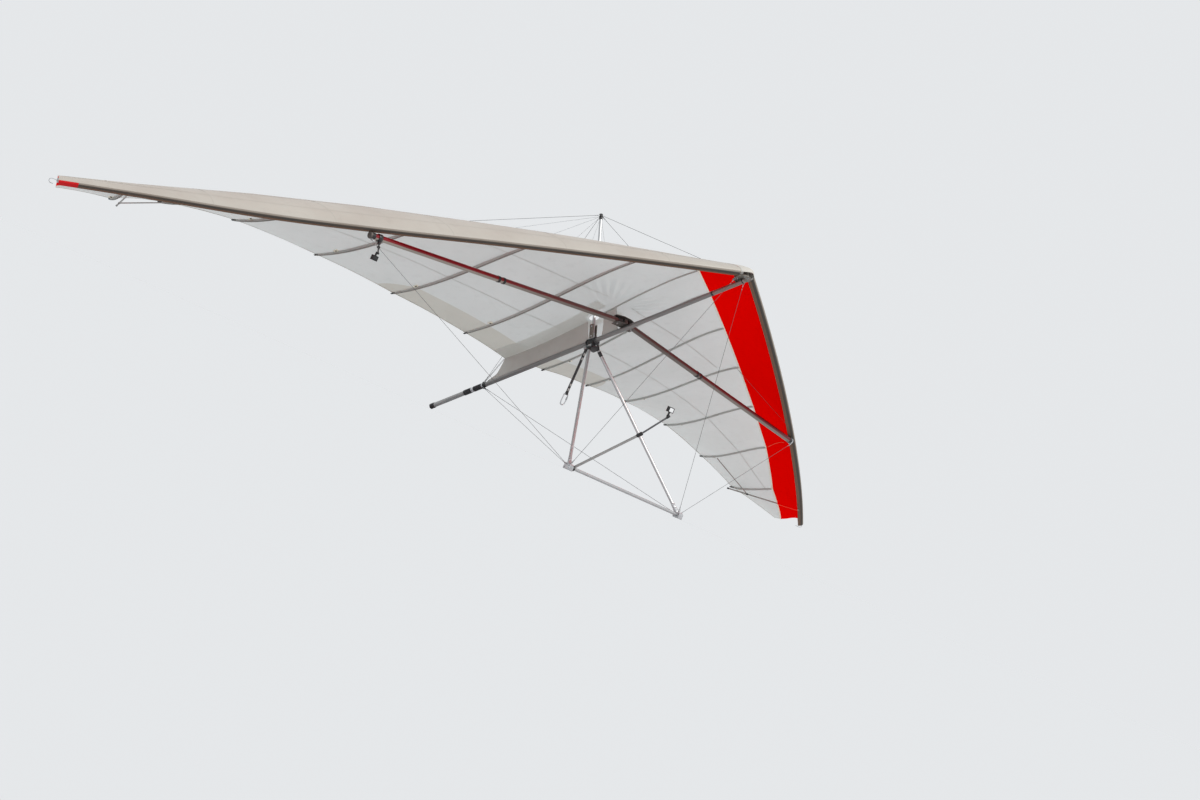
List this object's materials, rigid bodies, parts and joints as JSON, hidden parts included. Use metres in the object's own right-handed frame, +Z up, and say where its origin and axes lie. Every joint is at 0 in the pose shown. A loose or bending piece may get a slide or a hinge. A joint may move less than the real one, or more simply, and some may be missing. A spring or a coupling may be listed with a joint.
{
  "type": "tandem hang glider",
  "caption": "Single-surface delta wing of cloth on a king-posted tube frame with a triangular control bar, standing on its base bar and tail.",
  "frame": {"origin": "middle of the bounding box on the floor it stands on", "axes": "+X toward the nose, +Y toward the pilot's left wing tip, +Z up; the keel is pitched nose-up by 35 degrees"},
  "size_m": [3.6582, 10.48, 2.3042],
  "materials": {
    "white_cloth": "woven polyester sailcloth, slightly translucent",
    "cream_cloth": "coated leading-edge cloth",
    "red_cloth": "smooth red sailcloth",
    "taupe_cloth": "grey-brown cloth",
    "black_webbing": "woven webbing",
    "polished_aluminium": "polished tube",
    "dull_aluminium": "mill finish",
    "red_anodised": "red anodised",
    "steel": "brushed",
    "black_plastic": "matte moulding",
    "grey_plastic": "smooth moulding"
  },
  "bodies": {
    "airframe": {"keel_tube": "dull_aluminium", "tail_cap": "black_plastic", "keel_sleeve": "black_plastic", "nose_bracket": "steel", "cross_tube_junction": "black_plastic", "kingpost": "polished_aluminium", "kingpost_cap": "black_plastic", "apex_bracket": "black_plastic", "base_bar": "polished_aluminium", "keel_pocket_rear": "taupe_cloth", "keel_pocket_front": "taupe_cloth", "nose_cover": "white_cloth", "hang_bracket": "steel", "camera_pole": "black_plastic", "wing_camera_mount": "black_plastic", "top_wire_front": "steel", "top_wire_rear": "steel", "leading_edge_tube_left": "dull_aluminium", "cross_tube_left": "red_anodised", "cross_tube_bracket_left": "black_plastic", "downtube_left": "polished_aluminium", "corner_bracket_left": "black_plastic", "front_wire_left": "steel", "rear_wire_left": "steel", "side_wire_left": "steel", "top_wire_left": "steel", "washout_strut_left": "dull_aluminium", "sail_left": "white_cloth", "red_panel_left": "red_cloth", "leading_edge_pocket_left": "cream_cloth", "batten_left_1": "dull_aluminium", "batten_left_2": "dull_aluminium", "batten_left_3": "dull_aluminium", "batten_left_4": "dull_aluminium", "batten_left_5": "dull_aluminium", "batten_left_6": "dull_aluminium", "leading_edge_tube_right": "dull_aluminium", "cross_tube_right": "red_anodised", "cross_tube_bracket_right": "black_plastic", "downtube_right": "polished_aluminium", "corner_bracket_right": "black_plastic", "front_wire_right": "steel", "rear_wire_right": "steel", "side_wire_right": "steel", "top_wire_right": "steel", "washout_strut_right": "dull_aluminium", "sail_right": "white_cloth", "red_panel_right": "red_cloth", "leading_edge_pocket_right": "cream_cloth", "batten_right_1": "dull_aluminium", "batten_right_2": "dull_aluminium", "batten_right_3": "dull_aluminium", "batten_right_4": "dull_aluminium", "batten_right_5": "dull_aluminium", "batten_right_6": "dull_aluminium"},
    "hang_strap": {"hang_strap": "black_webbing", "carabiner": "steel"},
    "pole_camera": {"pole_camera": "grey_plastic"},
    "wing_camera": {"wing_camera": "black_plastic"}
  },
  "joints": [
    {"name": "hang_strap_swing", "type": "hinge", "parent": "airframe", "child": "hang_strap", "pos_m": [-0.15702, 0, 1.08103], "axis": [0, 1, 0], "range_deg": [-75, 45]},
    {"name": "pole_camera_tilt", "type": "hinge", "parent": "airframe", "child": "pole_camera", "pos_m": [1.8121, -0.744, 0.76961], "axis": [0, 1, 0], "range_deg": [-45, 45]},
    {"name": "wing_camera_tilt", "type": "hinge", "parent": "airframe", "child": "wing_camera", "pos_m": [0.00194, -2.933, 1.02529], "axis": [0, 1, 0], "range_deg": [-45, 45]}
  ]
}
